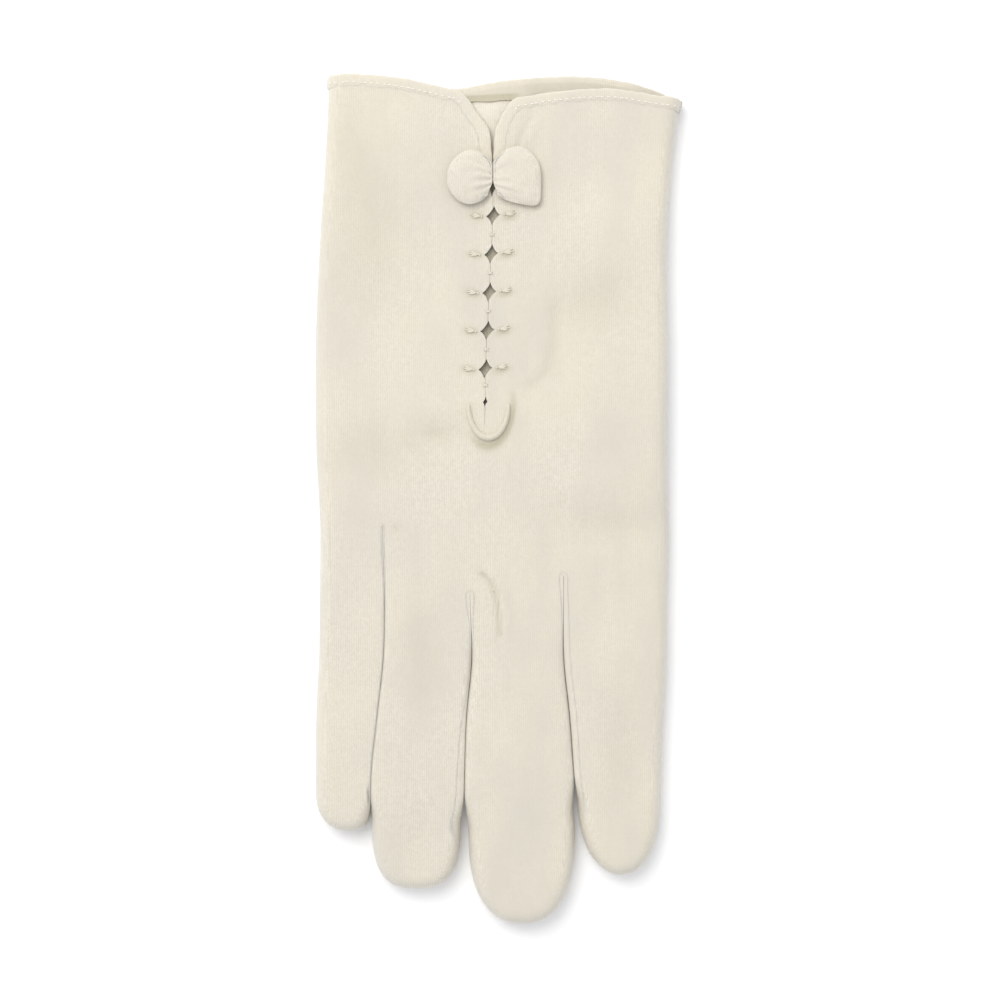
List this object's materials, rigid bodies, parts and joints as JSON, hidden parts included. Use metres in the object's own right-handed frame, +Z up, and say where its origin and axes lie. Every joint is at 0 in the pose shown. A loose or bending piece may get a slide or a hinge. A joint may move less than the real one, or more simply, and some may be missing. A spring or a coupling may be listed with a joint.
{
  "type": "embroidered glove",
  "caption": "Lady's ivory jersey dress glove for the right hand, lying flat, with a slit cuff, small bow, diamond openwork and a crescent welt on the back.",
  "frame": {"origin": "on the table, under the middle of the glove's bounding box", "axes": "+X towards the index finger's side, +Y towards the cuff, +Z up off the table, out of the back of the hand"},
  "size_m": [0.0922, 0.214, 0.0136],
  "materials": {
    "ivory_jersey": "matte fine knit",
    "ivory_edging": "matte, sewn and rolled"
  },
  "bodies": {
    "root": {"back_panel": "ivory_jersey", "palm_panel": "ivory_jersey", "fourchette_little_ring": "ivory_jersey", "fourchette_ring_middle": "ivory_jersey", "fourchette_middle_index": "ivory_jersey", "thumb": "ivory_jersey", "cuff_hem": "ivory_edging", "slit_end_crescent": "ivory_edging", "bow_loop_little_side": "ivory_jersey", "bow_loop_index_side": "ivory_jersey"}
  },
  "joints": []
}
